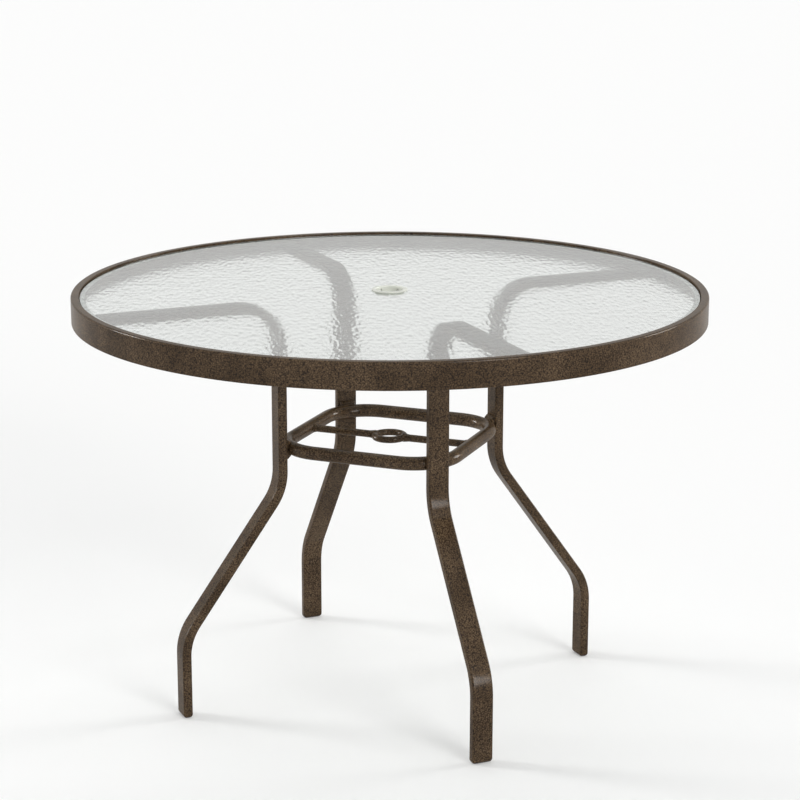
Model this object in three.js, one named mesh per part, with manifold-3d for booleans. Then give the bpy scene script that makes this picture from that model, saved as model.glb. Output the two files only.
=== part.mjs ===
// Umbrella table: a clear panel in a round rim on four bent legs, tied by a square ring of tube.
// Millimetres, +Z up. The origin is on the floor, under the middle of the umbrella hole.
// The legs stand on the diagonals, and the crossbar through the pole ring runs along X.

import * as THREE from 'three';
import { mergeVertices } from 'three/addons/utils/BufferGeometryUtils.js';
import Module from 'manifold-3d';

const wasm = await Module();
wasm.setup();

// Clearances
const fitGap = 0.3;
const cutOverrun = 2;

// Rim: an extruded profile bent into a hoop, open below, with a ledge for the panel
const tableDiameter = 1066.8;
const tableHeight = 711.2;
const rimHeight = 44;
const rimWidth = 13.5;
const rimWall = 2.5;
const rimOuterCorner = 4;
const rimInnerCorner = 1.5;
const rimBottomCorner = 1.2;
const rimLipWidth = 6;
const innerWallHeight = 34;
const ledgeWidth = 11;
const ledgeThickness = 2.5;

// Panel, the strip under it, and the umbrella hole
const panelRecess = 3.5;
const panelThickness = 5.5;
const panelSideGap = 1.5;
const panelEdgeChamfer = 0.6;
const stripThickness = 1.2;
const stripWidth = 8;
const umbrellaHoleDiameter = 51;

// Ring in the umbrella hole
const ringFlangeDiameter = 60.7;
const ringFlangeThickness = 2.2;
const ringFlangeCorner = 0.9;
const ringInnerDiameter = 46.6;
const ringSkirtWall = 1.7;
const ringSkirtBelowPanel = 4;
const ringBarbDepth = 0.8;
const ringBarbHeight = 2.4;
const ringSlotWidth = 2.4;
const ringSlotTop = 4.7;
const ringSlotCount = 5;
const ringFirstSlot = THREE.MathUtils.degToRad(76);

// Legs: rectangular tube, each bent three times in its own upright plane
const legTubeWidth = 36;
const legTubeDepth = 16;
const legTubeWall = 2;
const legEdgeRadius = 3.5;
const legBendRadius = 95;
const armBendRadius = 66;
const uprightRadius = 200.5;
const footRadius = 377.5;
const upperBendHeight = 385;
const lowerBendHeight = 140.5;
const legCount = 4;
const firstLegAngle = THREE.MathUtils.degToRad(45);

// Foot caps
const capThickness = 3.2;
const capBottomRadius = 2.2;
const capStemHeight = 16;
const capStemWall = 1.8;

// Brace ring, crossbar and pole ring
const braceHeight = 453;
const braceHalfSide = 150;
const braceTubeDiameter = 23;
const crossbarDiameter = 12.4;
const poleRingDiameter = 62;
const poleRingRodDiameter = 11.6;

// Welds
const ringWeldDiameter = 17.4;
const ringWeldLength = 7;
const braceEndWeldDiameter = 14.8;
const braceEndWeldLength = 3.5;
const braceWeldWidth = 31;
const braceWeldHeight = 36;
const braceWeldReach = 9;
const armWeldLeg = 4.5;

// Fineness of the round shapes
const hoopSteps = 88;
const smallRingSteps = 36;
const rodSteps = 14;
const cornerSteps = 2;
const edgeSteps = 1;
const bendStepAngle = THREE.MathUtils.degToRad(7.5);
const quarterTurn = Math.PI / 2;
const half = 0.5;

// Heights and radii that follow
const rimRadius = tableDiameter * half;
const rimInnerRadius = rimRadius - rimWidth;
const rimBottom = tableHeight - rimHeight;
const panelTop = tableHeight - panelRecess;
const panelBottom = panelTop - panelThickness;
const armTop = panelBottom - fitGap;
const ledgeTop = panelBottom - fitGap - stripThickness - fitGap;
const ledgeBottom = ledgeTop - ledgeThickness;
const armHeight = armTop - legTubeDepth * half;
const facetShare = Math.cos(2 * quarterTurn / hoopSteps);
const armEnd = reachInside(rimInnerRadius, legTubeWidth * half);
const braceTubeRadius = braceTubeDiameter * half;
const poleRingRodRadius = poleRingRodDiameter * half;
const poleRingPathRadius = poleRingDiameter * half - poleRingRodRadius;
const uprightInnerFace = uprightRadius - legTubeDepth * half;

// The ring's corner is as round as lets its tube just meet the legs' inner faces
const cornerReach = uprightInnerFace - fitGap - braceTubeRadius;
const braceCornerRadius = (Math.SQRT2 * braceHalfSide - cornerReach) / (Math.SQRT2 - 1);

// Materials
const bronze = { color: 0x4d4032, roughness: 0.5, metalness: 0.35 };
const clearAcrylic = { color: 0xe6eae8, roughness: 0.12, metalness: 0, transparent: true, opacity: 0.45 };
const paleVinyl = { color: 0xd4d8d4, roughness: 0.45, metalness: 0, transparent: true, opacity: 0.7 };
const hazyPlastic = { color: 0xb9bba9, roughness: 0.4, metalness: 0, transparent: true, opacity: 0.8 };
const darkPlastic = { color: 0x2c2722, roughness: 0.6, metalness: 0 };

const table = new THREE.Group();
table.name = 'umbrella_table';

// How far out a straight piece of this half width may reach inside a faceted hoop
function reachInside(hoopRadius, halfWidth) {
  return Math.sqrt(hoopRadius ** 2 - halfWidth ** 2) * facetShare - fitGap;
}

function addPiece(name, geometry, look, turn = 0) {
  const mesh = new THREE.Mesh(geometry, new THREE.MeshStandardMaterial(look));
  mesh.name = name;
  mesh.rotation.z = turn;
  table.add(mesh);
}

// A geometry class's surface with its shared points merged
function welded(geometry) {
  const bare = geometry.clone();
  bare.deleteAttribute('normal');
  bare.deleteAttribute('uv');
  return mergeVertices(bare);
}

function toSolid(geometry) {
  const closed = welded(geometry);
  return new wasm.Manifold(new wasm.Mesh({
    numProp: 3,
    vertProperties: new Float32Array(closed.attributes.position.array),
    triVerts: new Uint32Array(closed.index.array),
  }));
}

function toGeometry(solid) {
  const mesh = solid.getMesh();
  const geometry = new THREE.BufferGeometry();
  geometry.setAttribute('position', new THREE.BufferAttribute(mesh.vertProperties, 3));
  geometry.setIndex(new THREE.BufferAttribute(mesh.triVerts, 1));
  geometry.computeVertexNormals();
  return geometry;
}

function box(width, depth, height, x, y, z) {
  return new THREE.BoxGeometry(width, depth, height).translate(x, y, z);
}

// Revolves a profile of radii and heights, given outer face upwards, about the Z axis
function revolve(profile, steps) {
  return new THREE.LatheGeometry(profile, steps).rotateX(quarterTurn);
}

function closedProfile(outline, arcSteps) {
  const points = outline.getPoints(arcSteps);
  if (!points[0].equals(points.at(-1))) {
    points.push(points[0].clone());
  }
  return points;
}

function traceRectangle(path, width, depth, radius) {
  const x = width * half - radius;
  const y = depth * half - radius;
  path.absarc(x, y, radius, 0, quarterTurn);
  path.absarc(-x, y, radius, quarterTurn, 2 * quarterTurn);
  path.absarc(-x, -y, radius, 2 * quarterTurn, 3 * quarterTurn);
  path.absarc(x, -y, radius, 3 * quarterTurn, 4 * quarterTurn);
  path.closePath();
  return path;
}

function roundedRectangle(width, depth, radius) {
  return traceRectangle(new THREE.Shape(), width, depth, radius);
}

// A path through stations: one wherever a straight run ends, and several round each bend
class StationPath extends THREE.Curve {
  constructor(points, tangents) {
    super();
    this.points = points;
    this.tangents = tangents;
  }

  getUtoTmapping(u) {
    return u;
  }

  at(values, t, target) {
    const place = t * (values.length - 1);
    const index = Math.min(Math.floor(place + Number.EPSILON), values.length - 2);
    return target.lerpVectors(values[index], values[index + 1], place - index);
  }

  getPoint(t, target = new THREE.Vector3()) {
    return this.at(this.points, t, target);
  }

  getTangent(t, target = new THREE.Vector3()) {
    return this.at(this.tangents, t, target).normalize();
  }
}

function corner(x, y, z, radius = 0) {
  return { point: new THREE.Vector3(x, y, z), radius };
}

// Stations along a line through corners, each rounded to its own radius
function roundCorners(corners, isLoop) {
  const places = corners.map(({ point }) => point);
  const points = [];
  const tangents = [];
  const count = corners.length;
  if (!isLoop) {
    points.push(places[0]);
    tangents.push(places[1].clone().sub(places[0]).normalize());
  }
  const first = isLoop ? 0 : 1;
  const last = isLoop ? count : count - 1;
  for (let i = first; i < last; i += 1) {
    const { point, radius } = corners[i];
    const into = point.clone().sub(places[(i + count - 1) % count]).normalize();
    const out = places[(i + 1) % count].clone().sub(point).normalize();
    const bend = into.angleTo(out);
    const axis = into.clone().cross(out).normalize();
    const start = point.clone().addScaledVector(into, -radius * Math.tan(bend * half));
    const centre = start.clone().addScaledVector(axis.clone().cross(into), radius);
    const steps = Math.round(bend / bendStepAngle);
    for (let step = 0; step <= steps; step += 1) {
      const turn = bend * step / steps;
      points.push(start.clone().sub(centre).applyAxisAngle(axis, turn).add(centre));
      tangents.push(into.clone().applyAxisAngle(axis, turn));
    }
  }
  if (!isLoop) {
    points.push(places[count - 1]);
    tangents.push(places[count - 1].clone().sub(places[count - 2]).normalize());
  } else {
    points.push(points[0].clone());
    tangents.push(tangents[0].clone());
  }
  return new StationPath(points, tangents);
}

function steps(path) {
  return path.points.length - 1;
}

// Rim
const rimOutline = new THREE.Path();
rimOutline.moveTo(rimRadius - rimBottomCorner, rimBottom);
rimOutline.lineTo(rimRadius, rimBottom + rimBottomCorner);
rimOutline.absarc(rimRadius - rimOuterCorner, tableHeight - rimOuterCorner, rimOuterCorner, 0, quarterTurn);
rimOutline.lineTo(rimInnerRadius + rimInnerCorner, tableHeight);
rimOutline.lineTo(rimInnerRadius, tableHeight - rimInnerCorner);
rimOutline.lineTo(rimInnerRadius, ledgeTop);
rimOutline.lineTo(rimInnerRadius - ledgeWidth, ledgeTop);
rimOutline.lineTo(rimInnerRadius - ledgeWidth, ledgeBottom);
rimOutline.lineTo(rimInnerRadius, ledgeBottom);
rimOutline.lineTo(rimInnerRadius, tableHeight - innerWallHeight);
rimOutline.lineTo(rimInnerRadius + rimWall, tableHeight - innerWallHeight);
rimOutline.lineTo(rimInnerRadius + rimWall, tableHeight - rimWall);
rimOutline.lineTo(rimRadius - rimWall, tableHeight - rimOuterCorner);
rimOutline.lineTo(rimRadius - rimWall, rimBottom + rimWall);
rimOutline.lineTo(rimRadius - rimLipWidth, rimBottom + rimWall);
rimOutline.lineTo(rimRadius - rimLipWidth, rimBottom);
addPiece('rim', revolve(closedProfile(rimOutline, cornerSteps), hoopSteps), bronze);

// Clear panel, with its outer edges taken off, its open top outside the ring's flange, and its strip
const panelRadius = rimInnerRadius - panelSideGap;
const panelHoleRadius = umbrellaHoleDiameter * half;
const flangeRadius = ringFlangeDiameter * half;
const panelOutline = new THREE.Path();
panelOutline.moveTo(panelHoleRadius, panelBottom);
panelOutline.lineTo(panelRadius - panelEdgeChamfer, panelBottom);
panelOutline.lineTo(panelRadius, panelBottom + panelEdgeChamfer);
panelOutline.lineTo(panelRadius, panelTop - panelEdgeChamfer);
panelOutline.lineTo(panelRadius - panelEdgeChamfer, panelTop);
panelOutline.lineTo(flangeRadius + panelEdgeChamfer, panelTop);
panelOutline.lineTo(panelHoleRadius, panelTop);
addPiece('top_panel', revolve(closedProfile(panelOutline, edgeSteps), hoopSteps), clearAcrylic);
const stripBottom = ledgeTop + fitGap;
const stripTop = panelBottom - fitGap;
const stripOutline = new THREE.Path();
stripOutline.moveTo(panelRadius - stripWidth, stripBottom);
stripOutline.lineTo(panelRadius, stripBottom);
stripOutline.lineTo(panelRadius, stripTop);
stripOutline.lineTo(panelRadius - stripWidth, stripTop);
addPiece('panel_strip', revolve(closedProfile(stripOutline, edgeSteps), hoopSteps), paleVinyl);

// Umbrella hole ring: a flange, and a skirt split into springy fingers with a barb below the panel
const flangeBottom = panelTop + fitGap;
const flangeTop = flangeBottom + ringFlangeThickness;
const skirtInner = ringInnerDiameter * half;
const skirtOuter = skirtInner + ringSkirtWall;
const skirtBottom = panelBottom - ringSkirtBelowPanel;
const barbTop = panelBottom - fitGap;
const hoopOutline = new THREE.Path();
hoopOutline.moveTo(skirtInner, skirtBottom);
hoopOutline.lineTo(skirtOuter, skirtBottom);
hoopOutline.lineTo(skirtOuter + ringBarbDepth, barbTop - ringBarbHeight * half);
hoopOutline.lineTo(skirtOuter, barbTop);
hoopOutline.lineTo(skirtOuter, flangeBottom);
hoopOutline.lineTo(flangeRadius, flangeBottom);
const flangeCornerHeight = flangeTop - ringFlangeCorner;
hoopOutline.absarc(flangeRadius - ringFlangeCorner, flangeCornerHeight, ringFlangeCorner, 0, quarterTurn);
hoopOutline.absarc(
  skirtInner + ringFlangeCorner, flangeCornerHeight, ringFlangeCorner, quarterTurn, 2 * quarterTurn,
);
let holeRing = toSolid(revolve(closedProfile(hoopOutline, edgeSteps), smallRingSteps));
const slotHeight = flangeTop - ringSlotTop - skirtBottom + cutOverrun;
for (let i = 0; i < ringSlotCount; i += 1) {
  const slot = box(
    flangeRadius, ringSlotWidth, slotHeight, flangeRadius, 0, flangeTop - ringSlotTop - slotHeight * half,
  );
  holeRing = holeRing.subtract(toSolid(slot.rotateZ(ringFirstSlot + i * 4 * quarterTurn / ringSlotCount)));
}
addPiece('umbrella_hole_ring', toGeometry(holeRing), hazyPlastic);

// One leg in the plane of +X and Z, from its foot to the end of its arm
const legPath = roundCorners([
  corner(footRadius, 0, capThickness + fitGap),
  corner(footRadius, 0, lowerBendHeight, legBendRadius),
  corner(uprightRadius, 0, upperBendHeight, legBendRadius),
  corner(uprightRadius, 0, armHeight, armBendRadius),
  corner(armEnd, 0, armHeight),
], false);
const legSection = roundedRectangle(legTubeWidth, legTubeDepth, legEdgeRadius);
const boreX = legTubeWidth * half - legTubeWall;
const boreY = legTubeDepth * half - legTubeWall;
legSection.holes.push(new THREE.Path([
  new THREE.Vector2(boreX, boreY),
  new THREE.Vector2(-boreX, boreY),
  new THREE.Vector2(-boreX, -boreY),
  new THREE.Vector2(boreX, -boreY),
]));
const legBlank = new THREE.ExtrudeGeometry(legSection, {
  steps: steps(legPath),
  curveSegments: edgeSteps,
  extrudePath: legPath,
});
const notchTop = armTop + cutOverrun;
const notchBottom = ledgeBottom - fitGap;
const notchStart = reachInside(rimInnerRadius - ledgeWidth, legTubeWidth * half);
const notchEnd = armEnd + cutOverrun;
const notch = box(
  notchEnd - notchStart, legTubeWidth + cutOverrun, notchTop - notchBottom,
  (notchStart + notchEnd) * half, 0, (notchTop + notchBottom) * half,
);
const leg = toSolid(legBlank).subtract(toSolid(notch));
const legGeometry = toGeometry(leg);

// Foot cap: a rounded sole, and a hollow stem that fits the tube
const soleOutline = roundedRectangle(
  legTubeDepth - 2 * capBottomRadius, legTubeWidth - 2 * capBottomRadius, legEdgeRadius - capBottomRadius,
);
const sole = new THREE.ExtrudeGeometry(soleOutline, {
  depth: capThickness,
  bevelThickness: capBottomRadius,
  bevelSize: capBottomRadius,
  bevelSegments: cornerSteps,
  curveSegments: edgeSteps,
}).translate(footRadius, 0, capBottomRadius);
const capTrim = box(
  legTubeDepth + cutOverrun, legTubeWidth + cutOverrun, capBottomRadius * 2,
  footRadius, 0, capThickness + capBottomRadius,
);
const stemInset = 2 * (legTubeWall + fitGap);
const stem = box(
  legTubeDepth - stemInset, legTubeWidth - stemInset, capStemHeight + capThickness * half,
  footRadius, 0, capThickness + (capStemHeight - capThickness * half) * half,
);
const coreDepth = legTubeDepth - stemInset - 2 * capStemWall;
const coreWidth = legTubeWidth - stemInset - 2 * capStemWall;
const coreHeight = capStemHeight + cutOverrun;
const core = box(coreDepth, coreWidth, coreHeight, footRadius, 0, capThickness + coreHeight * half);
const cap = toSolid(sole).subtract(toSolid(capTrim)).add(toSolid(stem)).subtract(toSolid(core));
const capGeometry = toGeometry(cap);

// Brace ring, in the plane at its height, with its corners towards the legs
const braceReach = Math.SQRT2 * braceHalfSide;
const braceCorners = [];
for (let i = 0; i < legCount; i += 1) {
  const angle = firstLegAngle + i * quarterTurn;
  const x = braceReach * Math.cos(angle);
  const y = braceReach * Math.sin(angle);
  braceCorners.push(corner(x, y, braceHeight, braceCornerRadius));
}
const bracePath = roundCorners(braceCorners, true);

function braceTube(growth) {
  return new THREE.TubeGeometry(bracePath, steps(bracePath), braceTubeRadius + growth, rodSteps, true);
}

addPiece('brace_ring', braceTube(0), bronze);

// Pole ring
function poleRing(growth) {
  const rodRadius = poleRingRodRadius + growth;
  return new THREE.TorusGeometry(poleRingPathRadius, rodRadius, rodSteps, smallRingSteps)
    .translate(0, 0, braceHeight);
}

addPiece('pole_ring', poleRing(0), bronze);

// Crossbar halves, each a rod with a weld bead round both ends
const barStart = poleRingPathRadius;
const barEnd = braceHalfSide;
const barRadius = crossbarDiameter * half;
const startRadius = ringWeldDiameter * half;
const endRadius = braceEndWeldDiameter * half;
const startBead = barStart + poleRingRodRadius + ringWeldLength;
const endBead = barEnd - braceTubeRadius - braceEndWeldLength;
const barPath = new THREE.Path();
barPath.moveTo(0, barStart);
barPath.lineTo(startRadius, barStart);
barPath.lineTo(startRadius, barStart + poleRingRodRadius);
barPath.quadraticCurveTo(startRadius, startBead, barRadius, startBead);
barPath.lineTo(barRadius, endBead);
barPath.quadraticCurveTo(endRadius, endBead, endRadius, barEnd - braceTubeRadius);
barPath.lineTo(endRadius, barEnd);
barPath.lineTo(0, barEnd);
const barBlank = new THREE.LatheGeometry(barPath.getPoints(cornerSteps), rodSteps)
  .rotateZ(-quarterTurn)
  .translate(0, 0, braceHeight);
const bar = toSolid(barBlank).subtract(toSolid(braceTube(fitGap))).subtract(toSolid(poleRing(fitGap)));
const barParts = bar.decompose().sort((a, b) => b.volume() - a.volume());
const barGeometry = toGeometry(barParts[0]);
addPiece('crossbar_right', barGeometry, bronze);
addPiece('crossbar_left', barGeometry, bronze, 2 * quarterTurn);

// A bead of weld on a wall that faces -X, with every edge rounded down to the wall
function weldBead(width, height, reach, x, z) {
  const outline = roundedRectangle(height - 2 * reach, width - 2 * reach, legEdgeRadius);
  return new THREE.ExtrudeGeometry(outline, {
    depth: reach,
    bevelThickness: reach,
    bevelSize: reach,
    bevelSegments: cornerSteps,
    curveSegments: edgeSteps,
  }).rotateY(quarterTurn).translate(x, 0, z);
}

// The half space beyond a wall, as a block that is larger than any weld
function beyondWall(x, z) {
  const size = 2 * legTubeWidth;
  return toSolid(box(size, size, size, x + size * half, 0, z));
}

// Weld between a brace corner and the leg's inner face, shaped in the leg's plane
const braceWeldBlank = weldBead(braceWeldWidth, braceWeldHeight, braceWeldReach, uprightInnerFace, braceHeight);
const braceWeld = toSolid(braceWeldBlank)
  .subtract(beyondWall(uprightInnerFace - fitGap, braceHeight))
  .subtract(toSolid(braceTube(fitGap).rotateZ(-firstLegAngle)));
const braceWeldGeometry = toGeometry(braceWeld);

// Weld round the end of an arm, on the rim's inner wall and under the ledge
const armWeldWidth = legTubeWidth + 2 * armWeldLeg;
const armWeldHeight = legTubeDepth + 2 * armWeldLeg;
const armWeldBlank = weldBead(armWeldWidth, armWeldHeight, armWeldLeg, armEnd, armHeight);
const armOutside = roundedRectangle(
  legTubeDepth + 2 * fitGap, legTubeWidth + 2 * fitGap, legEdgeRadius + fitGap,
);
const armCutter = new THREE.ExtrudeGeometry(armOutside, {
  depth: legTubeWidth,
  bevelEnabled: false,
  curveSegments: edgeSteps,
}).rotateY(quarterTurn).translate(armEnd - legTubeWidth * half, 0, armHeight);
const wallStart = reachInside(rimInnerRadius, armWeldWidth * half);
const aboveLedge = box(
  armWeldWidth, armWeldWidth, armWeldHeight, armEnd, 0, ledgeBottom - fitGap + armWeldHeight * half,
);
const armWeld = toSolid(armWeldBlank)
  .subtract(toSolid(armCutter))
  .subtract(beyondWall(wallStart, armHeight))
  .subtract(toSolid(aboveLedge));
const armWeldGeometry = toGeometry(armWeld);

// The four legs with their caps and welds
const legPlaces = ['back_right', 'back_left', 'front_left', 'front_right'];
legPlaces.forEach((place, index) => {
  const turn = firstLegAngle + index * quarterTurn;
  addPiece(`leg_${place}`, legGeometry, bronze, turn);
  addPiece(`foot_cap_${place}`, capGeometry, darkPlastic, turn);
  addPiece(`brace_weld_${place}`, braceWeldGeometry, bronze, turn);
  addPiece(`arm_weld_${place}`, armWeldGeometry, bronze, turn);
});

export default table;
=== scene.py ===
"""Looks of the umbrella table: a hammered clear top in a bronze rim on four bent tube legs."""

import math

import bmesh
import bpy
from mathutils import Matrix, Vector


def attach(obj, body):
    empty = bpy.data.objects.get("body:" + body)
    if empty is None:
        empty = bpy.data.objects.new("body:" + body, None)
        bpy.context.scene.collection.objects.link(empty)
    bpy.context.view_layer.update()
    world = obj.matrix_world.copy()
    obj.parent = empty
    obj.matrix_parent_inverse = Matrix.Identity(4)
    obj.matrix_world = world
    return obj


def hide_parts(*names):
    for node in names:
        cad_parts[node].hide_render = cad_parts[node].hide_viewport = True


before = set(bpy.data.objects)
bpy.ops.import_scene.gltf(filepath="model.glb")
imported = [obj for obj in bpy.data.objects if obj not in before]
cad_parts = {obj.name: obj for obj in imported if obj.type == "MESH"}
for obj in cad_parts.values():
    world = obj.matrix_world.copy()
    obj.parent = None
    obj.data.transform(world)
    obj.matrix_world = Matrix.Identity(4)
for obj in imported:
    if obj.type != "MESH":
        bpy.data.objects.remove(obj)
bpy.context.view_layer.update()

MM = 0.001
QUARTER_TURN = math.pi / 2
FULL_TURN = 2 * math.pi

# Sizes are in millimetres where no comment says otherwise, and most are the solid model's own
TABLE_DIAMETER = 1066.8
TABLE_HEIGHT = 711.2
FIT_GAP = 0.3

# Rim: a profile bent into a hoop, open below, with a ledge for the panel
RIM_HEIGHT = 44
RIM_WIDTH = 13.5
RIM_WALL = 2.5
RIM_LIP = 6
INNER_WALL_HEIGHT = 34
LEDGE_WIDTH = 11
LEDGE_THICKNESS = 2.5
RIM_OUTER_CORNER = 3
RIM_INNER_CORNER = 1.5
RIM_BOTTOM_CORNER = 1.2
RIM_HOLLOW_CORNER = 1.5
PROFILE_EDGE = 0.5

# Panel, and the strip under it
PANEL_RECESS = 3.5
PANEL_THICKNESS = 5.5
PANEL_SIDE_GAP = 1.5
PANEL_EDGE = 0.6
HOLE_RADIUS = 25.5
HOLE_EDGE = 0.4
STRIP_THICKNESS = 1.2
STRIP_WIDTH = 8
STRIP_EDGE = 0.3

# Ring in the umbrella hole
FLANGE_RADIUS = 30.35
FLANGE_THICKNESS = 2.2
FLANGE_CORNER = 0.9
SKIRT_INNER = 23.3
SKIRT_WALL = 1.7
SKIRT_BELOW_PANEL = 4
SKIRT_EDGE = 0.3
BARB_DEPTH = 0.8
BARB_SHOULDER = 1.2
SLOT_DEPTH = 4.7
SLOT_WIDTH = 2.4
SLOT_COUNT = 5
FIRST_SLOT = math.radians(76)

# Legs, whose round soles are fuller than the solid model's, and the notch in each arm
LEG_WIDTH = 36
LEG_DEPTH = 16
LEG_EDGE = 3.5
LEG_BEND = 95
ARM_BEND = 66
UPRIGHT = 200.5
FOOT = 377.5
LOWER_BEND = 140.5
UPPER_BEND = 385
CAP_TOP = 3.2
FOOT_ROUNDING = 7
ARM_CLEARANCE = 1
LEG_CORNERS = ("back_right", "back_left", "front_left", "front_right")
FIRST_LEG = math.radians(45)

# Brace ring, pole ring and crossbar
BRACE_HEIGHT = 453
BRACE_HALF = 150
BRACE_BEND = 75.9
BRACE_TUBE = 11.5
POLE_RING_RADIUS = 31
POLE_RING_ROD = 5.8
BAR_RADIUS = 6.2

# Welds, with the scene's own tapers and edges, sunk a little into what they join
RING_WELD = 7.6
RING_WELD_LENGTH = 7
BRACE_END_WELD = 7.4
BRACE_END_WELD_LENGTH = 3.5
BRACE_WELD_WIDTH = 31
BRACE_WELD_HEIGHT = 36
BRACE_WELD_REACH = 9
BRACE_WELD_TAPER_SHARE = 0.68
BRACE_WELD_EDGE = 2.4
ARM_WELD = 4.2
ARM_WELD_EDGE = 2.6
SINK = 1.5

# Enamel: its cells, the pits between them, its clouds and the beads of a weld under it
CELL_SIZE = 3.3
PIT_SIZE = 2.8
CLOUD_SIZE = 70
GRAIN_DEPTH = 0.25
BEAD_SIZE = 6
BEAD_DEPTH = 0.8

# Hammered side: long shallow dimples and short deeper dents, sized along and across their rows
DIMPLE_CELL = (50, 14, 14)
DIMPLE_DEPTH = 0.06
DENT_CELL = (6.5, 18, 18)
DENT_DEPTH = 0.19
ROW_ANGLE = math.radians(25)
# A face whose normal is lower than this belongs to the hammered side
LOWER_SIDE_NORMAL = -0.9

# Moulded plastic: its faint mottling, and the grain of its tool, coarse enough here to show
MOTTLING_SIZE = 6
TOOL_GRAIN_SIZE = 0.6
TOOL_GRAIN_DEPTH = 0.05

# Points that are closer than this become one
MERGE_DISTANCE = 0.01

# Fineness of the round shapes, and the angles up to which an edge shades smooth
SMOOTH_ANGLE = math.radians(35)
BAR_SMOOTH_ANGLE = math.radians(50)
HOOP_STEPS = 256
RING_STEPS = 96
ROD_STEPS = 32
BEND_STEPS = 14
FLARE_STEPS = 8
SOLE_STEPS = 10
PROFILE_CORNER_STEPS = 4
SMALL_CORNER_STEPS = 2
LEG_EDGE_STEPS = 5
BRACE_WELD_STEPS = 4
ARM_WELD_STEPS = 5

# Floor and lamps, in metres, and what the floor and the backdrop shine by themselves
FLOOR_HALF_SIZE = 60
LAMP_DISTANCE = 5
FLOOR_OWN_SHARE = 0.18
SKY_SHARE = 0.33

# Heights and radii that follow
RIM_RADIUS = TABLE_DIAMETER / 2
RIM_INNER = RIM_RADIUS - RIM_WIDTH
RIM_BOTTOM = TABLE_HEIGHT - RIM_HEIGHT
INNER_WALL_BOTTOM = TABLE_HEIGHT - INNER_WALL_HEIGHT
PANEL_TOP = TABLE_HEIGHT - PANEL_RECESS
PANEL_BOTTOM = PANEL_TOP - PANEL_THICKNESS
PANEL_RADIUS = RIM_INNER - PANEL_SIDE_GAP
STRIP_TOP = PANEL_BOTTOM - FIT_GAP
STRIP_BOTTOM = STRIP_TOP - STRIP_THICKNESS
STRIP_INNER = PANEL_RADIUS - STRIP_WIDTH
LEDGE_TOP = STRIP_BOTTOM - FIT_GAP
LEDGE_BOTTOM = LEDGE_TOP - LEDGE_THICKNESS
LEDGE_INNER = RIM_INNER - LEDGE_WIDTH
FLANGE_BOTTOM = PANEL_TOP + FIT_GAP
FLANGE_TOP = FLANGE_BOTTOM + FLANGE_THICKNESS
SKIRT_OUTER = SKIRT_INNER + SKIRT_WALL
SKIRT_BOTTOM = PANEL_BOTTOM - SKIRT_BELOW_PANEL
SLOT_TOP = FLANGE_TOP - SLOT_DEPTH
BARB_RADIUS = SKIRT_OUTER + BARB_DEPTH
BARB_TOP = PANEL_BOTTOM - FIT_GAP
LEG_BOTTOM = CAP_TOP + FIT_GAP
ARM_HEIGHT = PANEL_BOTTOM - FIT_GAP - LEG_DEPTH / 2
ARM_END = RIM_INNER - ARM_CLEARANCE
NOTCH_START = LEDGE_INNER - ARM_CLEARANCE
NOTCH_HEIGHT = LEDGE_BOTTOM - FIT_GAP
UPRIGHT_INNER_FACE = UPRIGHT - LEG_DEPTH / 2
POLE_RING_PATH = POLE_RING_RADIUS - POLE_RING_ROD


# Mesh tools


def polygon(bm, corners, corner_steps):
    """A face in the XZ plane from (x, z, corner radius) in millimetres."""
    made = [bm.verts.new((x * MM, 0, z * MM)) for x, z, _ in corners]
    bm.faces.new(made)
    for vert, (_, _, radius) in zip(made, corners):
        if radius:
            bmesh.ops.bevel(
                bm,
                geom=[vert],
                offset=radius * MM,
                segments=corner_steps,
                profile=0.5,
                affect="VERTICES",
                material=-1,
            )


def tube_section(bm, width, depth):
    """A rectangle with the tube's round edges, centred, width along X and depth along Z."""
    x, z = width / 2, depth / 2
    corners = [(x, -z, LEG_EDGE), (x, z, LEG_EDGE), (-x, z, LEG_EDGE), (-x, -z, LEG_EDGE)]
    polygon(bm, corners, LEG_EDGE_STEPS)


def wire(bm):
    """Drops the faces and keeps their outline."""
    bmesh.ops.delete(bm, geom=bm.faces[:], context="FACES_ONLY")
    return bm.edges[:]


def ends_of(edges):
    """The vertices that these edges join."""
    return list({vert for edge in edges for vert in edge.verts})


def full_spin(bm, edges, steps, axis=(0, 0, 1)):
    """Turns an outline into a closed hoop or rod about an axis through the origin."""
    bmesh.ops.spin(
        bm,
        geom=ends_of(edges) + edges,
        cent=(0, 0, 0),
        axis=axis,
        angle=FULL_TURN,
        steps=steps,
        use_merge=True,
    )


def bend(bm, edges, centre, axis, angle, steps):
    """Carries an outline round a bend and returns its last edges."""
    made = bmesh.ops.spin(
        bm, geom=ends_of(edges) + edges, cent=centre, axis=axis, angle=angle, steps=steps
    )
    return [part for part in made["geom_last"] if isinstance(part, bmesh.types.BMEdge)]


def run(bm, edges, vector):
    """Carries an outline along a straight stretch and returns its last edges."""
    made = bmesh.ops.extrude_edge_only(bm, edges=edges)["geom"]
    verts = {part for part in made if isinstance(part, bmesh.types.BMVert)}
    bmesh.ops.translate(bm, verts=list(verts), vec=vector)
    new_edges = [part for part in made if isinstance(part, bmesh.types.BMEdge)]
    return [edge for edge in new_edges if verts.issuperset(edge.verts)]


def close_ends(bm):
    """Fills the open ends of a tube."""
    bmesh.ops.holes_fill(bm, edges=[edge for edge in bm.edges if edge.is_boundary], sides=0)


def turn_mesh(bm, angle, axis="Z"):
    """Turns a whole mesh about one of the axes."""
    bmesh.ops.rotate(bm, verts=bm.verts[:], cent=(0, 0, 0), matrix=Matrix.Rotation(angle, 3, axis))


def move_mesh(bm, x, y, z):
    """Moves a whole mesh by millimetres."""
    bmesh.ops.translate(bm, verts=bm.verts[:], vec=(x * MM, y * MM, z * MM))


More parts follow.
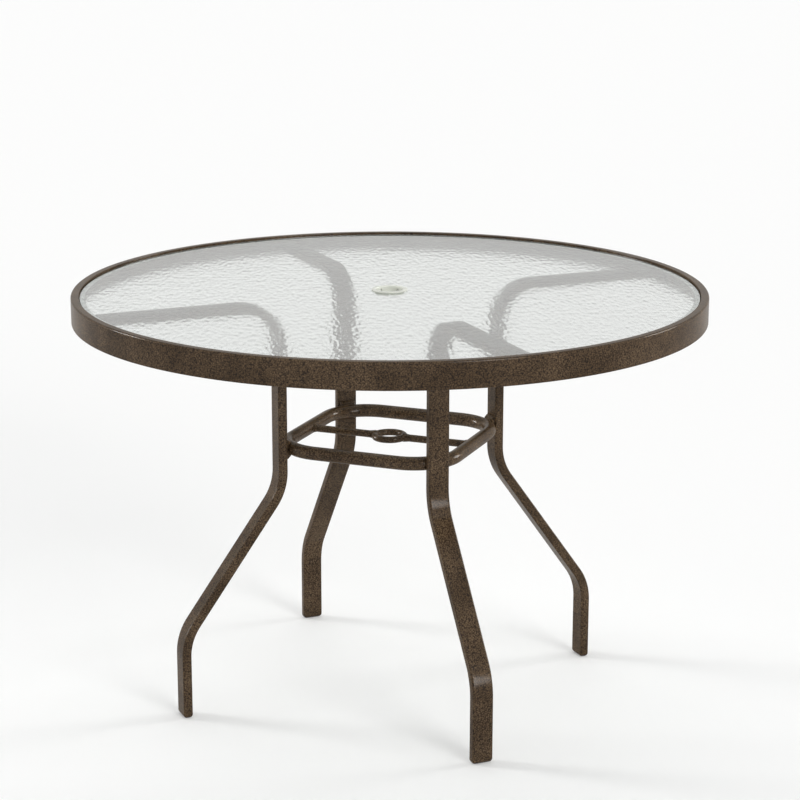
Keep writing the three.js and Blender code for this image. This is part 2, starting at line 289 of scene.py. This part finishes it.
def take_in(bm, other):
    """Adds another mesh to this one and frees the other."""
    copy = bpy.data.meshes.new("copy")
    other.to_mesh(copy)
    other.free()
    bm.from_mesh(copy)
    bpy.data.meshes.remove(copy)


def piece(name, bm, material, node, smooth_angle=SMOOTH_ANGLE):
    """Finishes a mesh as a piece of the table that stands for one of its solids."""
    bmesh.ops.remove_doubles(bm, verts=bm.verts[:], dist=MERGE_DISTANCE * MM)
    bmesh.ops.recalc_face_normals(bm, faces=bm.faces[:])
    mesh = bpy.data.meshes.new(name)
    bm.to_mesh(mesh)
    bm.free()
    mesh.shade_smooth()
    mesh.set_sharp_from_angle(angle=smooth_angle)
    mesh.materials.append(material)
    obj = bpy.data.objects.new(name, mesh)
    bpy.context.scene.collection.objects.link(obj)
    flats = obj.modifiers.new("flat_faces_shade_flat", "WEIGHTED_NORMAL")
    flats.keep_sharp = True
    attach(obj, "root")
    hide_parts(node)
    return obj


# Materials


def linear(hex_colour):
    """An sRGB hex colour as linear RGBA."""
    channels = [int(hex_colour[i : i + 2], 16) / 255 for i in (1, 3, 5)]
    return (*[c / 12.92 if c <= 0.04045 else ((c + 0.055) / 1.055) ** 2.4 for c in channels], 1)


def add_node(tree, kind, values=None, links=None, stops=(), **settings):
    """A node with its settings, the values of its inputs and what is linked to them, and the
    places and hex colours of its stops where it is a colour ramp."""
    node = tree.nodes.new(kind)
    for name, value in settings.items():
        setattr(node, name, value)
    for name, value in (values or {}).items():
        node.inputs[name].default_value = value
    for name, source in (links or {}).items():
        tree.links.new(source, node.inputs[name])
    while stops and len(node.color_ramp.elements) < len(stops):
        node.color_ramp.elements.new(0.5)
    for i, (place, colour) in enumerate(stops):
        node.color_ramp.elements[i].position = place
        node.color_ramp.elements[i].color = linear(colour)
    return node


def new_material(name):
    """A material with an empty node tree."""
    material = bpy.data.materials.new(name)
    material.use_nodes = True
    tree = material.node_tree
    tree.nodes.clear()
    return material, tree


def hammered_bronze(name, beaded):
    """Hammer-finish enamel baked on aluminium: a bronze brown that dries in small cells with
    darker pits between them, under its own level gloss, which mirrors the lamps softly on the
    bends and greys where it is seen along the surface. Over a weld, its beads show through."""
    material, tree = new_material(name)
    place = add_node(tree, "ShaderNodeTexCoord").outputs["Object"]
    cells = add_node(
        tree,
        "ShaderNodeTexVoronoi",
        {"Scale": 1 / (CELL_SIZE * MM), "Randomness": 1},
        {"Vector": place},
        feature="DISTANCE_TO_EDGE",
    )
    pits = add_node(
        tree,
        "ShaderNodeTexNoise",
        {"Scale": 1 / (PIT_SIZE * MM), "Detail": 3, "Roughness": 0.6},
        {"Vector": place},
    )
    clouds = add_node(
        tree,
        "ShaderNodeTexNoise",
        {"Scale": 1 / (CLOUD_SIZE * MM), "Detail": 2, "Roughness": 0.5},
        {"Vector": place},
    )
    grain = add_node(
        tree,
        "ShaderNodeMath",
        links={0: cells.outputs["Distance"], 1: pits.outputs["Fac"]},
        operation="ADD",
    )
    speckled = add_node(
        tree,
        "ShaderNodeValToRGB",
        links={"Fac": grain.outputs[0]},
        stops=[(0.46, "#241b14"), (0.62, "#4a3b2b"), (0.86, "#62503c")],
    )
    shaded = add_node(
        tree,
        "ShaderNodeValToRGB",
        links={"Fac": clouds.outputs["Fac"]},
        stops=[(0.35, "#c9c4bd"), (0.65, "#ffffff")],
    )
    colour = add_node(
        tree,
        "ShaderNodeMix",
        {"Factor": 1.0},
        {"A": speckled.outputs["Color"], "B": shaded.outputs["Color"]},
        data_type="RGBA",
        blend_type="MULTIPLY",
    )
    height = add_node(
        tree,
        "ShaderNodeBump",
        {"Strength": 0.35, "Distance": GRAIN_DEPTH * MM},
        {"Height": grain.outputs[0]},
    )
    normal = height.outputs["Normal"]
    if beaded:
        beads = add_node(
            tree,
            "ShaderNodeTexNoise",
            {"Scale": 1 / (BEAD_SIZE * MM), "Detail": 1},
            {"Vector": place},
        )
        normal = add_node(
            tree,
            "ShaderNodeBump",
            {"Strength": 0.5, "Distance": BEAD_DEPTH * MM},
            {"Height": beads.outputs["Fac"], "Normal": normal},
        ).outputs["Normal"]
    gloss = add_node(
        tree,
        "ShaderNodeMapRange",
        {"To Min": 0.26, "To Max": 0.4},
        {"Value": pits.outputs["Fac"]},
    )
    shader = add_node(
        tree,
        "ShaderNodeBsdfPrincipled",
        {
            "Metallic": 0.1,
            "Specular IOR Level": 0.03,
            "Specular Tint": linear("#dcc3a4"),
            "Coat Weight": 0.12,
            "Coat Roughness": 0.13,
            "Coat IOR": 1.9,
        },
        {
            "Base Color": colour.outputs["Result"],
            "Roughness": gloss.outputs["Result"],
            "Normal": normal,
        },
    )
    add_node(tree, "ShaderNodeOutputMaterial", links={"Surface": shader.outputs["BSDF"]})
    return material


def hammer_marks(tree, place, cell, depth, links):
    """Marks of one size and depth pressed into a surface, standing in slightly wavy rows."""
    rows = add_node(
        tree,
        "ShaderNodeMapping",
        {"Rotation": (0, 0, ROW_ANGLE), "Scale": [size * MM for size in cell]},
        {"Vector": place},
        vector_type="TEXTURE",
    )
    marks = add_node(
        tree,
        "ShaderNodeTexVoronoi",
        {"Scale": 1, "Smoothness": 1, "Randomness": 0.75},
        {"Vector": rows.outputs["Vector"]},
        feature="SMOOTH_F1",
    )
    waves = add_node(
        tree,
        "ShaderNodeTexNoise",
        {"Scale": 1, "Detail": 0},
        {"Vector": rows.outputs["Vector"]},
    )
    height = add_node(
        tree,
        "ShaderNodeMath",
        links={0: marks.outputs["Distance"], 1: waves.outputs["Fac"]},
        operation="ADD",
    )
    surface = add_node(
        tree,
        "ShaderNodeBump",
        {"Strength": 1, "Distance": depth * MM},
        {"Height": height.outputs[0], **links},
    )
    return {"Normal": surface.outputs["Normal"]}


def clear_acrylic(name, hammered):
    """Cast acrylic sheet, clear with a faint grey: flat and glossy above, hammered below in
    dimples and dents that fray the edges of what stands under it. Its shadow is pale."""
    material, tree = new_material(name)
    place = add_node(tree, "ShaderNodeTexCoord").outputs["Object"]
    links = {}
    haze = 0.02
    if hammered:
        links = hammer_marks(tree, place, DIMPLE_CELL, DIMPLE_DEPTH, links)
        links = hammer_marks(tree, place, DENT_CELL, DENT_DEPTH, links)
        haze = 0.09
    shader = add_node(
        tree,
        "ShaderNodeBsdfPrincipled",
        {
            "Base Color": linear("#dfe2e0"),
            "Roughness": haze,
            "IOR": 1.49,
            "Transmission Weight": 1,
        },
        links,
    )
    rays = add_node(tree, "ShaderNodeLightPath")
    daylight = add_node(tree, "ShaderNodeBsdfTransparent", {"Color": linear("#c0c2c0")})
    surface = add_node(
        tree,
        "ShaderNodeMixShader",
        links={
            "Fac": rays.outputs["Is Shadow Ray"],
            1: shader.outputs["BSDF"],
            2: daylight.outputs[0],
        },
    )
    add_node(tree, "ShaderNodeOutputMaterial", links={"Surface": surface.outputs[0]})
    return material


def moulded_plastic(name, low, high, roughness, transmission):
    """A moulded plastic with a fine matt grain from its tool, between two close colours."""
    material, tree = new_material(name)
    place = add_node(tree, "ShaderNodeTexCoord").outputs["Object"]
    mottling = add_node(
        tree,
        "ShaderNodeTexNoise",
        {"Scale": 1 / (MOTTLING_SIZE * MM), "Detail": 3},
        {"Vector": place},
    )
    texture = add_node(
        tree,
        "ShaderNodeTexNoise",
        {"Scale": 1 / (TOOL_GRAIN_SIZE * MM), "Detail": 2},
        {"Vector": place},
    )
    surface = add_node(
        tree,
        "ShaderNodeBump",
        {"Strength": 0.25, "Distance": TOOL_GRAIN_DEPTH * MM},
        {"Height": texture.outputs["Fac"]},
    )
    colour = add_node(
        tree,
        "ShaderNodeValToRGB",
        links={"Fac": mottling.outputs["Fac"]},
        stops=[(0.3, low), (0.7, high)],
    )
    shader = add_node(
        tree,
        "ShaderNodeBsdfPrincipled",
        {"Roughness": roughness, "Transmission Weight": transmission},
        {"Base Color": colour.outputs["Color"], "Normal": surface.outputs["Normal"]},
    )
    add_node(tree, "ShaderNodeOutputMaterial", links={"Surface": shader.outputs["BSDF"]})
    return material


bronze = hammered_bronze("hammer_finish_enamel", beaded=False)
weld_bronze = hammered_bronze("hammer_finish_enamel_over_weld", beaded=True)
acrylic_top = clear_acrylic("cast_acrylic_flat_side", hammered=False)
acrylic_hammered = clear_acrylic("cast_acrylic_hammered_side", hammered=True)
# Polypropylene lets some light through and looks milky, with a smooth sheen
hazy_plastic = moulded_plastic("translucent_polypropylene", "#e0e2d7", "#e9ebe1", 0.25, 0.3)
# Soft vinyl is greyer and duller
vinyl = moulded_plastic("soft_clear_vinyl", "#c4c8c4", "#d6dad6", 0.45, 0.3)
# Dyed polyethylene is nearly black and lets no light through
cap_plastic = moulded_plastic("dark_moulded_polyethylene", "#2e261f", "#3c3229", 0.45, 0)


# Rim

rim = bmesh.new()
polygon(
    rim,
    [
        (RIM_RADIUS, RIM_BOTTOM, RIM_BOTTOM_CORNER),
        (RIM_RADIUS, TABLE_HEIGHT, RIM_OUTER_CORNER),
        (RIM_INNER, TABLE_HEIGHT, RIM_INNER_CORNER),
        (RIM_INNER, LEDGE_TOP, 0),
        (LEDGE_INNER, LEDGE_TOP, PROFILE_EDGE),
        (LEDGE_INNER, LEDGE_BOTTOM, PROFILE_EDGE),
        (RIM_INNER, LEDGE_BOTTOM, 0),
        (RIM_INNER, INNER_WALL_BOTTOM, PROFILE_EDGE),
        (RIM_INNER + RIM_WALL, INNER_WALL_BOTTOM, PROFILE_EDGE),
        (RIM_INNER + RIM_WALL, TABLE_HEIGHT - RIM_WALL, 0),
        (RIM_RADIUS - RIM_WALL, TABLE_HEIGHT - RIM_WALL, RIM_HOLLOW_CORNER),
        (RIM_RADIUS - RIM_WALL, RIM_BOTTOM + RIM_WALL, 0),
        (RIM_RADIUS - RIM_LIP, RIM_BOTTOM + RIM_WALL, PROFILE_EDGE),
        (RIM_RADIUS - RIM_LIP, RIM_BOTTOM, PROFILE_EDGE),
    ],
    PROFILE_CORNER_STEPS,
)
full_spin(rim, wire(rim), HOOP_STEPS)
piece("rim_profile", rim, bronze, "rim")


# Clear top, hammered on its lower side, and the strip that it lies on

panel = bmesh.new()
polygon(
    panel,
    [
        (HOLE_RADIUS, PANEL_BOTTOM, HOLE_EDGE),
        (PANEL_RADIUS, PANEL_BOTTOM, PANEL_EDGE),
        (PANEL_RADIUS, PANEL_TOP, PANEL_EDGE),
        (HOLE_RADIUS, PANEL_TOP, HOLE_EDGE),
    ],
    SMALL_CORNER_STEPS,
)
full_spin(panel, wire(panel), HOOP_STEPS)
top = piece("clear_top", panel, acrylic_top, "top_panel")
top.data.materials.append(acrylic_hammered)
for face in top.data.polygons:
    if face.normal.z < LOWER_SIDE_NORMAL:
        face.material_index = 1

strip = bmesh.new()
polygon(
    strip,
    [
        (STRIP_INNER, STRIP_BOTTOM, STRIP_EDGE),
        (PANEL_RADIUS, STRIP_BOTTOM, STRIP_EDGE),
        (PANEL_RADIUS, STRIP_TOP, STRIP_EDGE),
        (STRIP_INNER, STRIP_TOP, STRIP_EDGE),
    ],
    SMALL_CORNER_STEPS,
)
full_spin(strip, wire(strip), HOOP_STEPS)
piece("seating_strip", strip, vinyl, "panel_strip")


# Ring in the umbrella hole: a whole collar above, and springy fingers between the slots

slot_angle = SLOT_WIDTH / SKIRT_OUTER
finger_angle = FULL_TURN / SLOT_COUNT - slot_angle


def finger_mesh(start_angle):
    """One finger of the skirt, with the barb that catches under the panel."""
    bm = bmesh.new()
    polygon(
        bm,
        [
            (SKIRT_INNER, SKIRT_BOTTOM, SKIRT_EDGE),
            (SKIRT_OUTER, SKIRT_BOTTOM, SKIRT_EDGE),
            (BARB_RADIUS, BARB_TOP - BARB_SHOULDER, 0),
            (SKIRT_OUTER, BARB_TOP, 0),
            (SKIRT_OUTER, SLOT_TOP, 0),
            (SKIRT_INNER, SLOT_TOP, 0),
        ],
        SMALL_CORNER_STEPS,
    )
    bend(bm, wire(bm), (0, 0, 0), (0, 0, 1), finger_angle, RING_STEPS // SLOT_COUNT)
    close_ends(bm)
    turn_mesh(bm, start_angle)
    return bm


hole_ring = bmesh.new()
polygon(
    hole_ring,
    [
        (SKIRT_INNER, SLOT_TOP, 0),
        (SKIRT_OUTER, SLOT_TOP, 0),
        (SKIRT_OUTER, FLANGE_BOTTOM, 0),
        (FLANGE_RADIUS, FLANGE_BOTTOM, SKIRT_EDGE),
        (FLANGE_RADIUS, FLANGE_TOP, FLANGE_CORNER),
        (SKIRT_INNER, FLANGE_TOP, FLANGE_CORNER),
    ],
    PROFILE_CORNER_STEPS,
)
full_spin(hole_ring, wire(hole_ring), RING_STEPS)
for i in range(SLOT_COUNT):
    take_in(hole_ring, finger_mesh(FIRST_SLOT + slot_angle / 2 + i * FULL_TURN / SLOT_COUNT))
piece("umbrella_hole_collar", hole_ring, hazy_plastic, "umbrella_hole_ring")


# Legs, with their foot caps and welds


def drawn_in(height):
    """How far the round edge of the sole stands in from the tube's faces at a height."""
    below = max(FOOT_ROUNDING - height, 0)
    return FOOT_ROUNDING - math.sqrt(FOOT_ROUNDING**2 - below**2)


def foot_end(bm, low, high):
    """The walls of a foot from one height up to another, drawn in towards the floor."""
    tube_section(bm, LEG_DEPTH, LEG_WIDTH)
    turn_mesh(bm, QUARTER_TURN, "X")
    move_mesh(bm, 0, 0, low)
    edges = wire(bm)
    step_height = (high - low) / SOLE_STEPS
    depth, width = LEG_DEPTH, LEG_WIDTH
    for step in range(SOLE_STEPS + 1):
        if step:
            edges = run(bm, edges, (0, 0, step_height * MM))
        inset = drawn_in(low + step * step_height)
        shrink = ((LEG_DEPTH - 2 * inset) / depth, (LEG_WIDTH - 2 * inset) / width, 1)
        bmesh.ops.scale(bm, verts=ends_of(edges), vec=shrink)
        depth, width = LEG_DEPTH - 2 * inset, LEG_WIDTH - 2 * inset
    move_mesh(bm, FOOT, 0, 0)
    return edges


def leg_mesh():
    """One leg in the plane of X and Z, as the bender makes it: straight runs and bends."""
    bm = bmesh.new()
    edges = foot_end(bm, LEG_BOTTOM, FOOT_ROUNDING)
    lean = math.atan2(FOOT - UPRIGHT, UPPER_BEND - LOWER_BEND)
    tangent = LEG_BEND * math.tan(lean / 2)
    slant = math.hypot(FOOT - UPRIGHT, UPPER_BEND - LOWER_BEND) - 2 * tangent
    lower = LOWER_BEND - tangent
    upper = UPPER_BEND + tangent
    arm_start = ARM_HEIGHT - ARM_BEND
    edges = run(bm, edges, (0, 0, (lower - FOOT_ROUNDING) * MM))
    centre = ((FOOT - LEG_BEND) * MM, 0, lower * MM)
    edges = bend(bm, edges, centre, (0, 1, 0), -lean, BEND_STEPS)
    edges = run(bm, edges, (-slant * math.sin(lean) * MM, 0, slant * math.cos(lean) * MM))
    centre = ((UPRIGHT + LEG_BEND) * MM, 0, upper * MM)
    edges = bend(bm, edges, centre, (0, 1, 0), lean, BEND_STEPS)
    edges = run(bm, edges, (0, 0, (arm_start - upper) * MM))
    centre = ((UPRIGHT + ARM_BEND) * MM, 0, arm_start * MM)
    edges = bend(bm, edges, centre, (0, 1, 0), QUARTER_TURN, 2 * BEND_STEPS)
    run(bm, edges, ((NOTCH_START - UPRIGHT - ARM_BEND) * MM, 0, 0))
    close_ends(bm)
    return bm


def tongue_mesh():
    """The low end of an arm, which passes under the ledge to the rim's wall."""
    start = NOTCH_START - SINK
    bm = bmesh.new()
    tube_section(bm, LEG_WIDTH, LEG_DEPTH)
    turn_mesh(bm, QUARTER_TURN)
    move_mesh(bm, start, 0, ARM_HEIGHT)
    run(bm, wire(bm), ((ARM_END - start) * MM, 0, 0))
    bmesh.ops.bisect_plane(
        bm,
        geom=bm.verts[:] + bm.edges[:] + bm.faces[:],
        plane_co=(0, 0, NOTCH_HEIGHT * MM),
        plane_no=(0, 0, 1),
        clear_outer=True,
    )
    open_edges = [edge for edge in bm.edges if edge.is_boundary and edge.calc_length() > 0]
    bmesh.ops.contextual_create(bm, geom=open_edges)
    return bm


def cap_mesh():
    """A moulded cap with a round sole, that carries on the tube's faces."""
    bm = bmesh.new()
    foot_end(bm, 0, CAP_TOP)
    close_ends(bm)
    return bm


def weld_block(low_x, high_x, width, height, z, edge, edge_steps, taper_share=1):
    """A block of weld with round edges between two places along X, tapered to its low end."""
    bm = bmesh.new()
    bmesh.ops.create_cube(bm, size=1)
    bmesh.ops.scale(bm, verts=bm.verts[:], vec=((high_x - low_x) * MM, width * MM, height * MM))
    low_end = [vert for vert in bm.verts if vert.co.x < 0]
    bmesh.ops.scale(bm, verts=low_end, vec=(1, taper_share, taper_share))
    bmesh.ops.bevel(
        bm,
        geom=bm.edges[:],
        offset=edge * MM,
        segments=edge_steps,
        profile=0.5,
        affect="EDGES",
        material=-1,
    )
    move_mesh(bm, (low_x + high_x) / 2, 0, z)
    return bm


def brace_weld_mesh():
    """Weld that slopes from a leg's inner face on to the brace's tube, above and below it."""
    return weld_block(
        low_x=UPRIGHT_INNER_FACE - BRACE_WELD_REACH,
        high_x=UPRIGHT_INNER_FACE,
        width=BRACE_WELD_WIDTH,
        height=BRACE_WELD_HEIGHT,
        z=BRACE_HEIGHT,
        edge=BRACE_WELD_EDGE,
        edge_steps=BRACE_WELD_STEPS,
        taper_share=BRACE_WELD_TAPER_SHARE,
    )


def arm_weld_mesh():
    """Weld round the end of an arm, against the rim's wall."""
    return weld_block(
        low_x=ARM_END - ARM_WELD,
        high_x=ARM_END + SINK,
        width=LEG_WIDTH + 2 * ARM_WELD,
        height=LEG_DEPTH + ARM_WELD,
        z=ARM_HEIGHT - ARM_WELD / 2 - SINK,
        edge=ARM_WELD_EDGE,
        edge_steps=ARM_WELD_STEPS,
    )


for i, corner in enumerate(LEG_CORNERS):
    leg = leg_mesh()
    take_in(leg, tongue_mesh())
    leg_parts = (
        (f"bent_leg_{corner}", leg, bronze, "frame", f"leg_{corner}"),
        (f"foot_{corner}", cap_mesh(), cap_plastic, "dark_plastic", f"foot_cap_{corner}"),
        (f"weld_{corner}", brace_weld_mesh(), weld_bronze, "frame", f"brace_weld_{corner}"),
        (f"arm_fillet_{corner}", arm_weld_mesh(), weld_bronze, "frame", f"arm_weld_{corner}"),
    )
    for name, bm, material, slot, node in leg_parts:
        turn_mesh(bm, FIRST_LEG + i * QUARTER_TURN)
        piece(name, bm, material, node)


# Brace ring, pole ring and crossbar


def rod_section(bm, radius, x, y):
    """A circle of edges in the plane of X and Z, about a point at the brace's height."""
    bmesh.ops.create_circle(bm, cap_ends=False, segments=ROD_STEPS, radius=radius * MM)
    turn_mesh(bm, QUARTER_TURN, "X")
    move_mesh(bm, x, y, BRACE_HEIGHT)
    return bm.edges[:]


def weld_flare(start, end, first_radius, last_radius):
    """The smooth outline of a weld that runs from one radius to another along a bar."""
    outline = []
    for step in range(FLARE_STEPS + 1):
        along = step / FLARE_STEPS
        eased = (1 - math.cos(math.pi * along)) / 2
        radius = first_radius + (last_radius - first_radius) * eased
        outline.append((start + (end - start) * along, radius))
    return outline


brace = bmesh.new()
straight_half = BRACE_HALF - BRACE_BEND
ring_edges = rod_section(brace, BRACE_TUBE, BRACE_HALF, -straight_half)
# A straight side and a corner for each leg
for i in range(len(LEG_CORNERS)):
    turn = Matrix.Rotation(i * QUARTER_TURN, 3, "Z")
    ring_edges = run(brace, ring_edges, turn @ Vector((0, 2 * straight_half * MM, 0)))
    centre = turn @ Vector((straight_half * MM, straight_half * MM, BRACE_HEIGHT * MM))
    ring_edges = bend(brace, ring_edges, centre, (0, 0, 1), QUARTER_TURN, 2 * BEND_STEPS)
piece("brace_hoop", brace, bronze, "brace_ring")

pole_ring = bmesh.new()
pole_ring_edges = rod_section(pole_ring, POLE_RING_ROD, POLE_RING_PATH, 0)
full_spin(pole_ring, pole_ring_edges, RING_STEPS)
piece("pole_hoop", pole_ring, bronze, "pole_ring")

brace_face = BRACE_HALF - BRACE_TUBE
bar_outline = [
    (POLE_RING_PATH, 0),
    *weld_flare(POLE_RING_PATH, POLE_RING_RADIUS + RING_WELD_LENGTH, RING_WELD, BAR_RADIUS),
    *weld_flare(brace_face - BRACE_END_WELD_LENGTH, brace_face + SINK, BAR_RADIUS, BRACE_END_WELD),
    (brace_face + SINK, 0),
]
for side, angle in (("right", 0), ("left", math.pi)):
    bar = bmesh.new()
    made = [bar.verts.new((x * MM, 0, z * MM)) for x, z in bar_outline]
    edges = [bar.edges.new(pair) for pair in zip(made, made[1:])]
    full_spin(bar, edges, ROD_STEPS, axis=(1, 0, 0))
    move_mesh(bar, 0, 0, BRACE_HEIGHT)
    turn_mesh(bar, angle)
    piece(f"bar_{side}", bar, bronze, f"crossbar_{side}", BAR_SMOOTH_ANGLE)


# Floor, backdrop, lamps and camera


def seen_directly(tree):
    """Is 1 where the camera sees the backdrop, also in metal or through the clear top."""
    rays = add_node(tree, "ShaderNodeLightPath").outputs
    mirrored = add_node(
        tree,
        "ShaderNodeMath",
        links={0: rays["Is Camera Ray"], 1: rays["Is Glossy Ray"]},
        operation="ADD",
    )
    seen = add_node(
        tree,
        "ShaderNodeMath",
        links={0: mirrored.outputs[0], 1: rays["Is Transmission Ray"]},
        operation="ADD",
        use_clamp=True,
    )
    return seen.outputs[0]


def studio_white(name, hex_colour, own_share):
    """A pale matt floor, part of it seen at its own colour, which keeps the shadows soft."""
    material, tree = new_material(name)
    colour = linear(hex_colour)
    own = add_node(tree, "ShaderNodeEmission", {"Color": colour, "Strength": 1})
    matt = add_node(tree, "ShaderNodeBsdfDiffuse", {"Color": colour})
    share = add_node(
        tree, "ShaderNodeMath", {1: own_share}, {0: seen_directly(tree)}, operation="MULTIPLY"
    )
    both = add_node(
        tree,
        "ShaderNodeMixShader",
        links={"Fac": share.outputs[0], 1: matt.outputs[0], 2: own.outputs[0]},
    )
    add_node(tree, "ShaderNodeOutputMaterial", links={"Surface": both.outputs[0]})
    return material


floor_mesh = bpy.data.meshes.new("floor")
floor_bm = bmesh.new()
bmesh.ops.create_grid(floor_bm, x_segments=1, y_segments=1, size=FLOOR_HALF_SIZE)
floor_bm.to_mesh(floor_mesh)
floor_bm.free()
floor = bpy.data.objects.new("floor", floor_mesh)
bpy.context.scene.collection.objects.link(floor)
floor_mesh.materials.append(studio_white("pale_floor", "#fdfdfc", FLOOR_OWN_SHARE))

# The backdrop is seen white, and lights the table with only a part of that
world = bpy.data.worlds.new("studio")
bpy.context.scene.world = world
world.use_nodes = True
sky = world.node_tree
sky.nodes.clear()
lit = add_node(sky, "ShaderNodeBackground", {"Color": linear("#fcfdff"), "Strength": SKY_SHARE})
backdrop = add_node(sky, "ShaderNodeBackground", {"Color": linear("#fdfdfc"), "Strength": 1})
mixed = add_node(
    sky,
    "ShaderNodeMixShader",
    links={"Fac": seen_directly(sky), 1: lit.outputs[0], 2: backdrop.outputs[0]},
)
add_node(sky, "ShaderNodeOutputWorld", links={"Surface": mixed.outputs[0]})


def soft_light(name, azimuth, elevation, spread, floor_share):
    """A broad soft light from far away that gives the floor this share of its brightness."""
    azimuth, elevation = math.radians(azimuth), math.radians(elevation)
    level = math.cos(elevation)
    place = Vector((level * math.cos(azimuth), level * math.sin(azimuth), math.sin(elevation)))
    lamp = bpy.data.lights.new(name, "SUN")
    lamp.energy = floor_share * math.pi / math.sin(elevation)
    lamp.angle = math.radians(spread)
    obj = bpy.data.objects.new(name, lamp)
    obj.location = LAMP_DISTANCE * place
    obj.rotation_euler = place.to_track_quat("Z", "Y").to_euler()
    bpy.context.scene.collection.objects.link(obj)
    return obj


# The low lights stay out of the clear top, which would mirror them as white patches
unlit_top = bpy.data.collections.new("unlit_top")
unlit_top.objects.link(top)
unlit_top.collection_objects[0].light_linking.link_state = "EXCLUDE"
low_lights = (
    soft_light("front_right_light", azimuth=-33, elevation=14, spread=26, floor_share=0.13),
    soft_light("left_light", azimuth=186, elevation=13, spread=18, floor_share=0.15),
    soft_light("back_right_light", azimuth=43, elevation=14, spread=20, floor_share=0.11),
)
for light in low_lights:
    light.light_linking.receiver_collection = unlit_top
soft_light("high_front_light", azimuth=-33, elevation=38, spread=26, floor_share=0.06)
soft_light("overhead_light", azimuth=125, elevation=65, spread=50, floor_share=0.22)

# Place in metres, and angles and lens as fitted to the photograph
CAMERA_PLACE = (1.4349, -3.5684, 1.5079)
CAMERA_YAW = math.radians(22.240)
CAMERA_PITCH = math.radians(15.328)
CAMERA_ROLL = math.radians(-0.069)
camera_data = bpy.data.cameras.new("camera")
camera_data.lens = 104.76
camera_data.sensor_width = 36
camera_data.shift_x = 0.0294
camera_data.shift_y = 0.0444
camera = bpy.data.objects.new("camera", camera_data)
camera.matrix_world = (
    Matrix.Translation(CAMERA_PLACE)
    @ Matrix.Rotation(CAMERA_YAW, 4, "Z")
    @ Matrix.Rotation(QUARTER_TURN - CAMERA_PITCH, 4, "X")
    @ Matrix.Rotation(CAMERA_ROLL, 4, "Z")
)
bpy.context.scene.collection.objects.link(camera)
bpy.context.scene.camera = camera

bpy.context.scene.view_settings.view_transform = "Standard"
